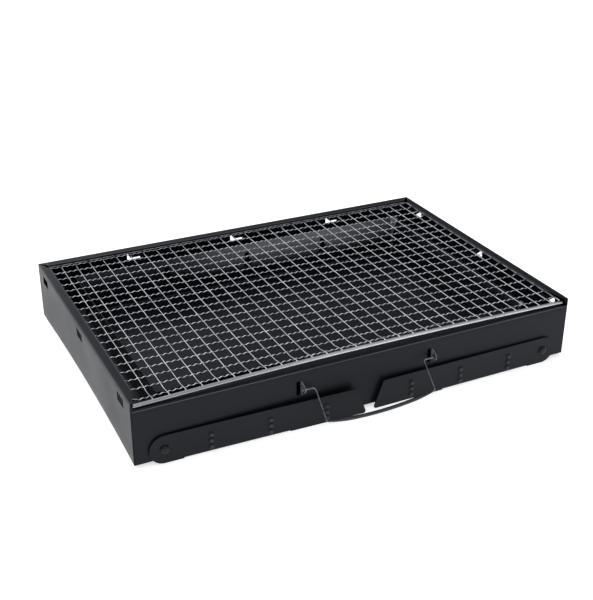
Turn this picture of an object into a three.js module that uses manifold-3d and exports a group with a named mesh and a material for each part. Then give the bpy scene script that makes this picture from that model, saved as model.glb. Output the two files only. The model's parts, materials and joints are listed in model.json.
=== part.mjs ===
// Folding charcoal grill, shown folded flat: a pressed steel box with a charcoal
// pan inside, a woven wire cooking mesh that slides in from the front, two
// U-shaped leg frames that turn on rivets, and a wire carrying handle.
//
// Millimetres. +X is along the long side, -Y is the front with the handle, +Z is
// up, and z = 0 is the surface that the folded leg frames lie on.

import * as THREE from 'three';
import { mergeVertices } from 'three/addons/utils/BufferGeometryUtils.js';
import Module from 'manifold-3d';

const wasm = await Module();
wasm.setup();

// ---------------------------------------------------------------- dimensions

const sheet = 0.7;            // body and pan steel
const clearance = 0.3;        // gap between pieces that lie against each other
const overlap = 0.01;         // lets two parts of one piece grow together

const body = { length: 430, width: 292, height: 58.4, frontHeight: 50.5 };
const flange = { side: 8.2, front: 10, taperFrom: 20, taperTo: 3 };
const tab = {
  length: 9, width: 15, window: 16, windowHeight: 8, top: 52.5, pitch: 120,
  backPitch: 116, backWidth: 13, backWindow: 14,
};

const pan = {
  length: 360, width: 232, floor: 8, rim: 48,
  footHeight: 3.2, footRadius: 7, footTaper: 2, footInsetX: 40, footInsetY: 35,
};
const vent = { pitch: 90, bottom: 25, top: 41, width: 9, neck: 5, shoulder: 3 };

const leg = {
  sheet: 0.9, strapWidth: 26.5, pivotInset: 26, pivotHeight: 10, gap: 1.2,
  reachBottom: 185, footAngle: 20.6, panelFrom: 16.3, panelTo: 112,
  flareLeft: 4.6, flareRight: 2.2, holeRadius: 2.3,
};
const rivet = { shank: 2.0, head: 4.1, headHeight: 2.0, tailHeight: 1.0, tail: 3.4 };
const washer = { inner: 2.35, outer: 5.5, thickness: 0.6 };

const mesh = {
  height: 54.3, wire: 0.7, rod: 1.0, sideInset: 3, backInset: 2.8,
  longCount: 29, longPitch: 14.27, longDrop: 0.9, longShift: 5.6, longClosing: 7,
  crossCount: 20, crossPitch: 14.18, crossFirst: 13.6,
  barRadius: 1.75, barFront: 5.4, barInset: 2.4,
};

const handle = {
  lean: 47, wire: 0.8, bend: 4, pivotOut: 4.2, pivotHeight: 34.3, legSpan: 54, tipSpan: 67,
  length: 30.3, bow: 4.6, sleeveOuter: 1.7, sleeveInner: 1.05, sleeveHalf: 48,
};
const lug = {
  at: 65, out: 6.8, height: 13.5, window: 6.5, hole: 1.2,
  noseLength: 2.6, noseHalf: 3.4, noseRound: 1.6,
};

const halfLength = body.length / 2;
const halfWidth = body.width / 2;
// The straps' lower edges are the lowest part, so they set the body's height.
const base = leg.strapWidth / 2 - leg.pivotHeight;
const pivotX = halfLength - leg.pivotInset;
const pivotZ = base + leg.pivotHeight;

// ----------------------------------------------------------------- materials

const paint = (name, color, roughness, metalness) =>
  new THREE.MeshStandardMaterial({ name, color, roughness, metalness });
const blackPaint = paint('black_paint', 0x26282b, 0.42, 0.3);
const panSteel = paint('pan_steel', 0x2a2c2f, 0.5, 0.4);
const meshWire = paint('mesh_wire', 0xb4b6b8, 0.35, 0.9);
const barSteel = paint('bar_steel', 0xd8d9db, 0.25, 0.95);
const handleSteel = paint('handle_steel', 0x8a8c8f, 0.35, 0.9);
const sleeveBlack = paint('grip_sleeve', 0x1d1e20, 0.45, 0.0);
const rivetSteel = paint('rivet_steel', 0x303236, 0.35, 0.6);

// ------------------------------------------------------------------- helpers

function solid(geometry) {
  const plain = geometry.index ? geometry.toNonIndexed() : geometry.clone();
  plain.deleteAttribute('normal');
  plain.deleteAttribute('uv');
  const merged = mergeVertices(plain, 1e-4);
  return new wasm.Manifold(new wasm.Mesh({
    numProp: 3,
    vertProperties: new Float32Array(merged.attributes.position.array),
    triVerts: new Uint32Array(merged.index.array),
  }));
}

function piece(name, shape, material) {
  const data = shape.getMesh();
  const geometry = new THREE.BufferGeometry();
  geometry.setAttribute('position', new THREE.BufferAttribute(data.vertProperties, 3));
  geometry.setIndex(new THREE.BufferAttribute(data.triVerts, 1));
  geometry.computeVertexNormals();
  const result = new THREE.Mesh(geometry, material);
  result.name = name;
  return result;
}

function block([x0, x1], [y0, y1], [z0, z1]) {
  const box = new THREE.BoxGeometry(x1 - x0, y1 - y0, z1 - z0);
  return solid(box.translate((x0 + x1) / 2, (y0 + y1) / 2, (z0 + z1) / 2));
}

// A flat plate: an outline in X and Y, from z0 up to z1.
function plate(points, z0, z1) {
  const outline = new THREE.Shape(points.map(([x, y]) => new THREE.Vector2(x, y)));
  const geometry = new THREE.ExtrudeGeometry(outline, { depth: z1 - z0, bevelEnabled: false });
  return solid(geometry.translate(0, 0, z0));
}

// An upright plate: an outline in X and Z, from y0 back to y1.
function upright(outline, y0, y1) {
  const geometry = new THREE.ExtrudeGeometry(outline, {
    depth: y1 - y0, bevelEnabled: false, curveSegments: 10,
  });
  return solid(geometry.rotateX(Math.PI / 2).translate(0, y1, 0));
}

// A turned shape about the Y axis through (x, z): the profile lists [radius, y].
function turned(profile, x, z, sides = 20) {
  const points = profile.map(([radius, y]) => new THREE.Vector2(radius, y));
  return solid(new THREE.LatheGeometry(points, sides).translate(x, 0, z));
}

function cylinderX(radius, x0, x1, y, z, sides = 20) {
  const geometry = new THREE.CylinderGeometry(radius, radius, x1 - x0, sides);
  return solid(geometry.rotateZ(Math.PI / 2).translate((x0 + x1) / 2, y, z));
}

function cylinderY(radius, y0, y1, x, z, sides = 20) {
  const geometry = new THREE.CylinderGeometry(radius, radius, y1 - y0, sides);
  return solid(geometry.translate(x, (y0 + y1) / 2, z));
}

// A round wire along a curve.
function wireAlong(curve, radius, steps, sides = 10) {
  const section = new THREE.Shape();
  for (let i = 0; i < sides; i += 1) {
    const angle = (2 * Math.PI * i) / sides;
    const x = radius * Math.cos(angle);
    const y = radius * Math.sin(angle);
    if (i === 0) section.moveTo(x, y);
    else section.lineTo(x, y);
  }
  return solid(new THREE.ExtrudeGeometry(section, { steps, extrudePath: curve, bevelEnabled: false }));
}

// A path of straight runs with rounded corners, as wire is bent.
function bentPath(corners, radius) {
  const path = new THREE.CurvePath();
  let from = corners[0];
  for (let i = 1; i < corners.length - 1; i += 1) {
    const before = corners[i].clone().sub(corners[i - 1]).normalize();
    const after = corners[i + 1].clone().sub(corners[i]).normalize();
    const start = corners[i].clone().addScaledVector(before, -radius);
    const end = corners[i].clone().addScaledVector(after, radius);
    path.add(new THREE.LineCurve3(from, start));
    path.add(new THREE.QuadraticBezierCurve3(start, corners[i].clone(), end));
    from = end;
  }
  path.add(new THREE.LineCurve3(from, corners[corners.length - 1]));
  return path;
}

const union = (shapes) => shapes.reduce((sum, shape) => sum.add(shape));

// Two ends of a stretch, lower one first.
const stretch = (a, b) => [Math.min(a, b), Math.max(a, b)];

// ---------------------------------------------------------------- body shell

function bodyShell() {
  const top = base + body.height;
  const frontTop = base + body.frontHeight;
  const x = halfLength;
  const y = halfWidth;
  const outer = block([-x, x], [-y, y], [base, top]);
  const inner = block([-x + sheet, x - sheet], [-y + sheet, y - sheet], [base + sheet, top + 1]);
  const lowFront = block([-x - 1, x + 1], [-y - 1, -y + sheet + overlap], [frontTop, top + 1]);
  let shell = outer.subtract(inner).subtract(lowFront);

  for (const side of [-1, 1]) {
    const edge = side * x;
    const lip = side * (x - flange.side);
    shell = shell.add(plate([
      [edge, y],
      [edge, -y + sheet],
      [side * (x - flange.taperTo), -y + sheet],
      [lip, -y + flange.taperFrom],
      [lip, y],
    ], top - sheet, top));
  }
  shell = shell.add(block([-x, x], [y - flange.side, y], [top - sheet, top]));
  shell = shell.add(plate([
    [-x + sheet, -y],
    [x - sheet, -y],
    [x - flange.front, -y + flange.front],
    [-x + flange.front, -y + flange.front],
  ], frontTop - sheet, frontTop));

  const tabTop = base + tab.top;
  const windowBottom = tabTop - tab.windowHeight;
  for (const step of [-1, 0, 1]) {
    const along = step * tab.pitch;
    const across = step * tab.backPitch;
    for (const side of [-1, 1]) {
      shell = shell
        .subtract(block(stretch(side * (x - 2 * sheet), side * (x + sheet)),
          [along - tab.window / 2, along + tab.window / 2], [windowBottom, tabTop]))
        .add(block(stretch(side * (x - tab.length), side * x),
          [along - tab.width / 2, along + tab.width / 2], [tabTop - sheet, tabTop + overlap]));
    }
    shell = shell
      .subtract(block([across - tab.backWindow / 2, across + tab.backWindow / 2],
        [y - 2 * sheet, y + sheet], [windowBottom, tabTop]))
      .add(block([across - tab.backWidth / 2, across + tab.backWidth / 2],
        [y - tab.length, y], [tabTop - sheet, tabTop + overlap]));
  }

  const lugZ = base + handle.pivotHeight;
  for (const side of [-1, 1]) {
    const at = side * lug.at;
    shell = shell
      .subtract(block([at - lug.window, at], [-y - sheet, -y + 2 * sheet],
        [lugZ - lug.height / 2, lugZ + lug.height / 2]))
      .add(handleLug(at, lugZ))
      .subtract(cylinderX(lug.hole, at - sheet, at + sheet, -y - handle.pivotOut, lugZ));
    for (const wall of [-1, 1]) {
      const [near, far] = stretch(wall * (y - 2 * sheet), wall * (y + sheet));
      shell = shell.subtract(cylinderY(rivet.shank + clearance, near, far, side * pivotX, pivotZ));
    }
  }
  return shell;
}

// An ear swung out of its window in the front wall, with a rounded nose.
function handleLug(x, z) {
  const y = -halfWidth;
  const half = lug.height / 2;
  const tip = -y + lug.out;
  const nose = new THREE.Shape();
  nose.moveTo(-y - sheet, -half);
  nose.lineTo(-y, -half);
  nose.lineTo(tip - lug.noseLength, -lug.noseHalf);
  nose.quadraticCurveTo(tip, -lug.noseRound, tip, 0);
  nose.quadraticCurveTo(tip, lug.noseRound, tip - lug.noseLength, lug.noseHalf);
  nose.lineTo(-y, half);
  nose.lineTo(-y - sheet, half);
  const geometry = new THREE.ExtrudeGeometry(nose, { depth: sheet, bevelEnabled: false });
  // The outline's first axis points to the front and its second one up.
  geometry.applyMatrix4(new THREE.Matrix4().makeBasis(
    new THREE.Vector3(0, -1, 0), new THREE.Vector3(0, 0, 1), new THREE.Vector3(-1, 0, 0),
  ));
  return solid(geometry.translate(x + sheet / 2, 0, z));
}

// -------------------------------------------------------------- charcoal pan

function charcoalPan() {
  const x = pan.length / 2;
  const y = pan.width / 2;
  const floor = base + pan.floor;
  const rim = base + pan.rim;
  let tray = block([-x, x], [-y, y], [floor, rim])
    .subtract(block([-x + sheet, x - sheet], [-y + sheet, y - sheet], [floor + sheet, rim + 1]));
  for (const step of [-1, 0, 1]) {
    for (const wall of [-1, 1]) {
      const [near, far] = stretch(wall * (y - 2 * sheet), wall * (y + sheet));
      tray = tray.subtract(upright(ventOutline(step * vent.pitch), near, far));
    }
  }
  for (const side of [-1, 1]) {
    for (const end of [-1, 1]) {
      const foot = new THREE.CylinderGeometry(
        pan.footRadius, pan.footRadius - pan.footTaper, pan.footHeight + sheet, 16,
      );
      foot.rotateX(Math.PI / 2);
      foot.translate(side * (x - pan.footInsetX), end * (y - pan.footInsetY),
        floor + (sheet - pan.footHeight) / 2);
      tray = tray.add(solid(foot));
    }
  }
  return tray;
}

// A slot with a narrow neck at the top and a round bottom.
function ventOutline(x) {
  const half = vent.width / 2;
  const neck = vent.neck / 2;
  const low = base + vent.bottom + half;
  const shape = new THREE.Shape();
  shape.moveTo(x + neck, base + vent.top);
  shape.lineTo(x - neck, base + vent.top);
  shape.lineTo(x - half, low + vent.shoulder);
  shape.lineTo(x - half, low);
  shape.absarc(x, low, half, Math.PI, 2 * Math.PI, false);
  shape.lineTo(x + half, low + vent.shoulder);
  return shape;
}

// ---------------------------------------------------------------- leg frames

// A leg frame about its own pivot, with its straps running along +X.
function legFrame(flare) {
  const half = leg.strapWidth / 2;
  const bevel = leg.strapWidth * Math.tan(THREE.MathUtils.degToRad(leg.footAngle));
  const inner = halfWidth + leg.gap;
  const strap = new THREE.Shape();
  strap.moveTo(0, -half);
  strap.lineTo(leg.reachBottom, -half);
  strap.lineTo(leg.reachBottom - bevel, half);
  strap.lineTo(0, half);
  strap.absarc(0, 0, half, Math.PI / 2, (3 * Math.PI) / 2, false);
  const hole = (wall) => cylinderY(leg.holeRadius, wall * inner - 3, wall * inner + 3, 0, 0);
  const front = upright(strap, -inner - leg.sheet, -inner).subtract(hole(-1));
  const back = upright(strap, inner, inner + leg.sheet).subtract(hole(1));
  const panel = block([leg.panelFrom, leg.panelTo], [-inner - overlap, inner + overlap],
    [-half, -half + leg.sheet]);
  // The straps stand away from the walls towards their free ends.
  const lean = flare / leg.reachBottom;
  return union([front, back, panel]).warp((point) => {
    point[1] *= 1 + (lean * point[0]) / inner;
  });
}

function rivetAt(x, wall) {
  const inside = halfWidth - sheet - clearance;
  const outside = halfWidth + leg.gap + leg.sheet + clearance;
  const dome = 6;
  const profile = [[0, inside - rivet.tailHeight], [rivet.tail, inside - rivet.tailHeight],
    [rivet.tail, inside], [rivet.shank, inside], [rivet.shank, outside]];
  for (let i = 0; i <= dome; i += 1) {
    const angle = (Math.PI / 2) * (i / dome);
    profile.push([rivet.head * Math.cos(angle), outside + rivet.headHeight * Math.sin(angle)]);
  }
  profile[profile.length - 1][0] = 0;
  const shape = turned(profile, 0, 0);
  return wall > 0 ? shape.translate([x, 0, pivotZ]) : shape.mirror([0, 1, 0]).translate([x, 0, pivotZ]);
}

function washerAt(x, wall) {
  const near = halfWidth + clearance;
  const ring = cylinderY(washer.outer, near, near + washer.thickness, 0, 0, 24)
    .subtract(cylinderY(washer.inner, near - 1, near + washer.thickness + 1, 0, 0, 24));
  return wall > 0 ? ring.translate([x, 0, pivotZ]) : ring.mirror([0, 1, 0]).translate([x, 0, pivotZ]);
}

// -------------------------------------------------------------- cooking mesh

const meshZ = base + mesh.height;
const rodX = halfLength - mesh.sideInset;
const rodY = halfWidth - mesh.backInset;
const barY = -halfWidth + mesh.barFront;
// The bar lies on the front wall's lip, a little below the mesh.
const barZ = base + body.frontHeight + mesh.barRadius + clearance;

// Two side runs and a back run, joined by round knuckles at the corners.
function frameRod() {
  const front = barY + mesh.barRadius + clearance;
  const knuckle = (x) => solid(new THREE.SphereGeometry(mesh.rod, 12, 8).translate(x, rodY, meshZ));
  return union([
    cylinderX(mesh.rod, -rodX, rodX, rodY, meshZ, 12),
    cylinderY(mesh.rod, front, rodY, -rodX, meshZ, 12),
    cylinderY(mesh.rod, front, rodY, rodX, meshZ, 12),
    knuckle(-rodX),
    knuckle(rodX),
  ]);
}

// The weave sits a little to the right, and its last wires close up again.
function longWireX(index) {
  const last = mesh.longCount - 1;
  const shift = mesh.longShift * Math.min(1, (last - index) / mesh.longClosing);
  return (index - last / 2) * mesh.longPitch + shift;
}

// The long wires are welded to the thick front bar like the teeth of a comb.
function barWithLongWires() {
  const end = halfLength - mesh.barInset;
  const back = rodY - mesh.rod - clearance;
  const wires = [];
  for (let i = 0; i < mesh.longCount; i += 1) {
    wires.push(cylinderY(mesh.wire, barY, back, longWireX(i), meshZ - mesh.longDrop, 8));
  }
  return union([cylinderX(mesh.barRadius, -end, end, barY, barZ, 14), ...wires]);
}

function crossWire(index) {
  const y = -halfWidth + mesh.crossFirst + index * mesh.crossPitch;
  const end = rodX - mesh.rod - clearance;
  return cylinderX(mesh.wire, -end, end, y, meshZ + mesh.longDrop, 8);
}

// -------------------------------------------------------------------- handle

// The bail in its own plane: first axis along the grill, second one away from
// the pivot line.
function handleCurve() {
  const at = (x, u) => new THREE.Vector3(x, 0, -u);
  const { tipSpan, legSpan, length, bow } = handle;
  return bentPath([
    at(-tipSpan, 0), at(-legSpan, 0), at(-legSpan, length),
    at(-legSpan / 2, length + bow), at(legSpan / 2, length + bow),
    at(legSpan, length), at(legSpan, 0), at(tipSpan, 0),
  ], handle.bend);
}

function gripCurve() {
  const at = (x, u) => new THREE.Vector3(x, 0, -u);
  const { legSpan, sleeveHalf, length, bow } = handle;
  const edge = length + (bow * (legSpan - sleeveHalf)) / (legSpan / 2);
  return bentPath([
    at(-sleeveHalf, edge), at(-legSpan / 2, length + bow),
    at(legSpan / 2, length + bow), at(sleeveHalf, edge),
  ], handle.bend);
}

function gripSleeve() {
  return wireAlong(gripCurve(), handle.sleeveOuter, 24, 14)
    .subtract(wireAlong(gripCurve(), handle.sleeveInner, 24, 14));
}

// ------------------------------------------------------------------ assembly

const grill = new THREE.Group();
grill.add(piece('body_shell', bodyShell(), blackPaint));
grill.add(piece('charcoal_pan', charcoalPan(), panSteel));

const leftFrame = piece('left_leg_frame', legFrame(leg.flareLeft), blackPaint);
leftFrame.position.set(-pivotX, 0, pivotZ);
const rightFrame = piece('right_leg_frame', legFrame(leg.flareRight), blackPaint);
rightFrame.position.set(pivotX, 0, pivotZ);
rightFrame.rotation.z = Math.PI;
grill.add(leftFrame, rightFrame);

for (const [side, sideName] of [[-1, 'left'], [1, 'right']]) {
  for (const [wall, wallName] of [[-1, 'front'], [1, 'back']]) {
    const place = `${wallName}_${sideName}`;
    grill.add(piece(`rivet_${place}`, rivetAt(side * pivotX, wall), rivetSteel));
    grill.add(piece(`washer_${place}`, washerAt(side * pivotX, wall), rivetSteel));
  }
}

grill.add(piece('mesh_bar_with_long_wires', barWithLongWires(), barSteel));
grill.add(piece('mesh_frame_rod', frameRod(), meshWire));
for (let i = 0; i < mesh.crossCount; i += 1) {
  const number = String(i + 1).padStart(2, '0');
  grill.add(piece(`mesh_cross_wire_${number}`, crossWire(i), meshWire));
}

const bail = new THREE.Group();
bail.position.set(0, -halfWidth - handle.pivotOut, base + handle.pivotHeight);
bail.rotation.x = -THREE.MathUtils.degToRad(handle.lean);
bail.add(piece('handle_wire', wireAlong(handleCurve(), handle.wire, 90), handleSteel));
bail.add(piece('handle_grip', gripSleeve(), sleeveBlack));
grill.add(bail);

// The origin is under the middle of the whole object.
grill.updateMatrixWorld(true);
const extent = new THREE.Box3().setFromObject(grill, true);
grill.position.y = -(extent.min.y + extent.max.y) / 2;

export default grill;
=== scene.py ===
# %% [markdown]
# # A folding charcoal grill, folded flat
# This lesson dresses a low steel grill box: satin black paint on folded sheet, a
# woven wire cooking mesh held by tabs, two strap leg frames on rivets and a small
# wire handle. The engineering model gives every size and place. Each cell builds
# one piece or one finish, says how the real thing is made, and prints a result.

# %% Load the fixed frame
import json
import math

import bmesh
import bpy
from mathutils import Euler, Matrix, Vector


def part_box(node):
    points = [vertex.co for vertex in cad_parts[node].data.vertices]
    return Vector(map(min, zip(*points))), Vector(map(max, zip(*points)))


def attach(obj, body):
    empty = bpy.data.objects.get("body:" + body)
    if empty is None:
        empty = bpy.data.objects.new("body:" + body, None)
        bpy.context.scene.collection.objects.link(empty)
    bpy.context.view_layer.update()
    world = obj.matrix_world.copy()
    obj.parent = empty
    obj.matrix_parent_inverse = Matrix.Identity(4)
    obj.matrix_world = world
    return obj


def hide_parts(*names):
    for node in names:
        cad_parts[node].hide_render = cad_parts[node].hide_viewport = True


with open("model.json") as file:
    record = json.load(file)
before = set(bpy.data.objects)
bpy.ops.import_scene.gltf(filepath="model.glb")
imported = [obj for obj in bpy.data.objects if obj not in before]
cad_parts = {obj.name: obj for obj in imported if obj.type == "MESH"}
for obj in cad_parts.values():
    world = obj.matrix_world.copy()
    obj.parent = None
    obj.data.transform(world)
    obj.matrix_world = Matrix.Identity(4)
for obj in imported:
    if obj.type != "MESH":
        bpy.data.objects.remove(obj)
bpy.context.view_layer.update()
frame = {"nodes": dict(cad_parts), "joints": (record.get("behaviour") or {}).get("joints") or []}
print("nodes in the frame:", len(frame["nodes"]))

# %% [markdown]
# ## Sizes that everything else follows
# A maker would measure the box first, then place each piece from its edges. The
# front wall's ears stand out of the shell, so its front face is found by
# mirroring the back wall about the middle of the charcoal pan, which is centred.

# %% Measure the frame
MM = 0.001
shell_low, shell_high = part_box("body_shell")
pan_low, pan_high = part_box("charcoal_pan")
bar_low, bar_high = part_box("mesh_bar_with_long_wires")
rod_low, rod_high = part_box("mesh_frame_rod")
left_low, left_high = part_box("left_leg_frame")
_, right_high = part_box("right_leg_frame")
rivet_low, rivet_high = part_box("rivet_front_left")

middle_y = (pan_low.y + pan_high.y) / 2
half_x = shell_high.x
half_y = shell_high.y - middle_y
front_y = middle_y - half_y
back_y = middle_y + half_y
base_z = shell_low.z
top_z = shell_high.z
pivot_x = (rivet_low.x + rivet_high.x) / 2
pivot_z = (rivet_low.z + rivet_high.z) / 2
joints = {joint["name"]: joint for joint in frame["joints"]}
print(f"box {2000 * half_x:.0f} x {2000 * half_y:.0f} x {1000 * (top_z - base_z):.1f} mm")

# %% [markdown]
# ## The camera
# The camera comes first, so that every later piece can be judged from the same
# place. It stands above the front left corner and looks down along the box.

# %% Place the camera
CAMERA_FROM_CORNER = Vector((-194.4, -692.5, 506.4)) * MM
CAMERA_TURN = Euler([math.radians(a) for a in (63.31, -0.2, -26.02)], "XYZ")
LENS = 63.98

camera_data = bpy.data.cameras.new("view_camera")
camera_data.lens = LENS
camera_data.sensor_width = 36.0
camera = bpy.data.objects.new("view_camera", camera_data)
corner = Vector((-half_x, front_y, base_z))
camera.location = corner + CAMERA_FROM_CORNER
camera.rotation_euler = CAMERA_TURN
bpy.context.scene.collection.objects.link(camera)
bpy.context.scene.camera = camera
bpy.context.scene.view_settings.view_transform = "Standard"
print("camera", [round(v, 3) for v in camera.location])

# %% [markdown]
# ## Mesh helpers
# Nearly every piece is either folded sheet or bent wire. Sheet is drawn as its
# middle surface and thickened afterwards, as a press shop thinks of it. Wire is
# a round section carried along a list of points. Both helpers make plain meshes,
# so the same shapes can be exported.

# %% Turn a bmesh into an object
EDGE_ANGLE = 40
EDGE_SEGMENTS = 2


def make_object(name, bm, smooth=True):
    data = bpy.data.meshes.new(name)
    bm.to_mesh(data)
    bm.free()
    for face in data.polygons:
        face.use_smooth = smooth
    result = bpy.data.objects.new(name, data)
    bpy.context.scene.collection.objects.link(result)
    return result


def apply_modifiers(piece):
    """Works a piece's modifiers into its mesh."""
    graph = bpy.context.evaluated_depsgraph_get()
    done = bpy.data.meshes.new_from_object(piece.evaluated_get(graph))
    old = piece.data
    piece.modifiers.clear()
    piece.data = done
    bpy.data.meshes.remove(old)
    return piece


def soften(piece, width):
    """Rounds the cut edges and keeps flat faces flat in shading."""
    bevel = piece.modifiers.new("edge_round", "BEVEL")
    bevel.width = width
    bevel.segments = EDGE_SEGMENTS
    bevel.limit_method = "ANGLE"
    bevel.angle_limit = math.radians(EDGE_ANGLE)
    bevel.harden_normals = True
    return apply_modifiers(piece)


print("mesh helpers ready")

# %% Carry a round section along points
def tube_into(bm, points, radii, sides):
    """Adds a round wire to bm. The section turns with the path without twisting."""
    last = len(points) - 1
    rings = []
    normal = None
    for i, point in enumerate(points):
        ahead = points[min(i + 1, last)]
        behind = points[max(i - 1, 0)]
        tangent = (ahead - behind).normalized()
        if normal is None:
            normal = tangent.orthogonal().normalized()
        normal = (normal - tangent * normal.dot(tangent)).normalized()
        side = tangent.cross(normal)
        rings.append([
            bm.verts.new(point + radii[i] * (math.cos(a) * normal + math.sin(a) * side))
            for a in (2 * math.pi * k / sides for k in range(sides))
        ])
    for first, second in zip(rings, rings[1:]):
        for k in range(sides):
            j = (k + 1) % sides
            bm.faces.new((first[k], first[j], second[j], second[k]))
    bm.faces.new(list(reversed(rings[0])))
    bm.faces.new(rings[-1])


TIP_LEFT = 0.12


def round_ended(points, radius, steps):
    """Points and radii that close a wire with half-round ends."""
    def cap(tip, inner):
        out = (tip - inner).normalized()
        return [(tip + out * (radius * (math.sin(a) - 1)), radius * max(math.cos(a), TIP_LEFT))
                for a in (math.pi / 2 * k / steps for k in range(1, steps + 1))]
    start = list(reversed(cap(points[0], points[1])))
    end = cap(points[-1], points[-2])
    body = [(p, radius) for p in points[1:-1]]
    inset_start = points[0] + (points[1] - points[0]).normalized() * radius
    inset_end = points[-1] + (points[-2] - points[-1]).normalized() * radius
    chain = start + [(inset_start, radius)] + body + [(inset_end, radius)] + end
    return [p for p, _ in chain], [r for _, r in chain]


def rounded_path(corners, radius, arc_steps, run_step=None):
    """Straight runs joined by round bends, as a bending jig makes them."""
    points = [corners[0]]
    for before, corner_point, after in zip(corners, corners[1:], corners[2:]):
        to_before = (before - corner_point).normalized()
        to_after = (after - corner_point).normalized()
        half_angle = to_before.angle(to_after) / 2
        reach = radius / math.tan(half_angle)
        centre = corner_point + (to_before + to_after).normalized() * (radius / math.sin(half_angle))
        start = (corner_point + to_before * reach - centre).normalized()
        end = (corner_point + to_after * reach - centre).normalized()
        for k in range(arc_steps + 1):
            points.append(centre + start.slerp(end, k / arc_steps) * radius)
    points.append(corners[-1])
    if run_step is None:
        return points
    dense = [points[0]]
    for a, b in zip(points, points[1:]):
        parts = max(1, round((b - a).length / run_step))
        dense += [a.lerp(b, k / parts) for k in range(1, parts + 1)]
    return dense


print("wire helpers ready")

# %% [markdown]
# ## Sheet as a grid of cells
# A folded box is a few flat panels that share edges. Each panel is cut into cells
# at every window, tab and bend, so a window is simply a cell that is left out and
# a tab is a cell that is turned away. Shared corners are found by their position.

# %% Sheet helper
FOLDED = 0.6


class SheetGrid:
    """Flat panels built from cells, with corners shared between panels."""

    def __init__(self):
        self.bm = bmesh.new()
        self.corners = {}

    def corner(self, point):
        key = tuple(round(v * 1e6) for v in point)
        if key not in self.corners:
            self.corners[key] = self.bm.verts.new(point)
        return self.corners[key]

    def panel(self, place, cuts_a, cuts_b, leave_out=lambda a, b: False):
        """place(a, b) gives a point; leave_out tests the middle of a cell."""
        for a0, a1 in zip(cuts_a, cuts_a[1:]):
            for b0, b1 in zip(cuts_b, cuts_b[1:]):
                if leave_out((a0 + a1) / 2, (b0 + b1) / 2):
                    continue
                loop = [place(a0, b0), place(a1, b0), place(a1, b1), place(a0, b1)]
                verts = []
                for vert in (self.corner(p) for p in loop):
                    if vert not in verts:
                        verts.append(vert)
                if len(verts) > 2:
                    self.bm.faces.new(verts)

    def fold(self, is_fold, radius, segments=3):
        """Rounds the chosen fold lines to a bend radius."""
        self.bm.normal_update()
        edges = [e for e in self.bm.edges if len(e.link_faces) == 2
                 and e.calc_face_angle(0) > FOLDED and is_fold((e.verts[0].co + e.verts[1].co) / 2)]
        bmesh.ops.bevel(self.bm, geom=edges, offset=radius, segments=segments,
                        affect="EDGES", profile=0.5, clamp_overlap=True)
        return len(edges)


def cuts(low, high, step, *marks):
    """Even cuts from low to high, with an exact cut at each mark."""
    fixed = sorted({round(v, 7) for v in (low, high, *marks) if low <= v <= high})
    result = [fixed[0]]
    for a, b in zip(fixed, fixed[1:]):
        parts = max(1, round((b - a) / step))
        result += [a + (b - a) * k / parts for k in range(1, parts + 1)]
    return result


CRISP = 32


def thicken(piece, thickness):
    """Gives a middle surface its thickness, and keeps its cut edges crisp."""
    solidify = piece.modifiers.new("sheet", "SOLIDIFY")
    solidify.thickness = thickness
    solidify.offset = 0.0
    apply_modifiers(piece)
    piece.data.set_sharp_from_angle(angle=math.radians(CRISP))
    return piece


print("sheet helper ready")

# %% [markdown]
# ## The shell
# The box is one blank of thin steel: a floor, four walls folded up, and lips
# folded in along the top of three of them. The front wall is lower so that the
# cooking mesh can slide in over it. Near the top, small windows are pushed
# through and their metal turned inwards as shelves for the mesh. A single box
# with bevels would lose the windows, the seams and the gaps that make it sheet.

# %% Shell sizes
SHEET = 0.7 * MM
SKIN = SHEET / 2
BEND = 1.1 * MM
SIDE_LIP = 8.2 * MM
FRONT_LIP = 10.0 * MM
FRONT_DROP = 7.0 * MM
FRONT_TILT = 0.7 * MM
WINDOW = 16.0 * MM
BACK_WINDOW = 14.0 * MM
WINDOW_TALL = 8.0 * MM
WINDOW_TOP = 52.5 * MM
TAB_HALF = 7.7 * MM
BACK_TAB_HALF = 6.7 * MM
TAB_LONG = 9.4 * MM
BACK_DROOP = 0.16
SIDE_DROOP = 0.34
SIDE_STEPS = (-120.0 * MM, 0.0, 120.0 * MM)
BACK_STEPS = (-116.0 * MM, 0.0, 116.0 * MM)
EAR_X = 65.0 * MM
EAR_WINDOW = 4.6 * MM
EAR_TALL = 13.5 * MM
EAR_OUT = 6.8 * MM
EAR_Z = base_z + 34.3 * MM
SEAM = 0.5 * MM
CELL = 12 * MM
COURSE = 8 * MM
CORNER_CUTS = (1 * MM, 4 * MM, 8 * MM)
HAIR = 1e-6

mid_x = half_x - SKIN
mid_front = front_y + SKIN
mid_back = back_y - SKIN
mid_base = base_z + SKIN
mid_top = top_z - SKIN
front_top = top_z - FRONT_DROP - SKIN
window_high = base_z + WINDOW_TOP
window_low = window_high - WINDOW_TALL
print(f"front wall stands {1000 * (front_top - base_z):.1f} mm high")

# %% Fold the shell
def side_windows(a, b):
    in_row = any(abs(a - middle_y - s) < WINDOW / 2 for s in SIDE_STEPS)
    return in_row and window_low < b < window_high


def back_windows(a, b):
    return any(abs(a - s) < BACK_WINDOW / 2 for s in BACK_STEPS) and window_low < b < window_high


def ear_windows(a, b):
    """Each ear leaves its window on its left."""
    in_ear = any(at - EAR_WINDOW < a < at for at in (-EAR_X, EAR_X))
    return in_ear and abs(b - EAR_Z) < EAR_TALL / 2


def marks(centres, *halves):
    """Both sides of each centre, as exact cuts."""
    return [c + sign * h for c in centres for h in halves for sign in (-1, 1)]


def end_x(a, b):
    """The lowest row of a front or back wall reaches right out to the corner."""
    at_corner = b <= mid_base + HAIR and abs(a) >= mid_x - 2 * MM
    return math.copysign(mid_x, a) if at_corner else a


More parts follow.
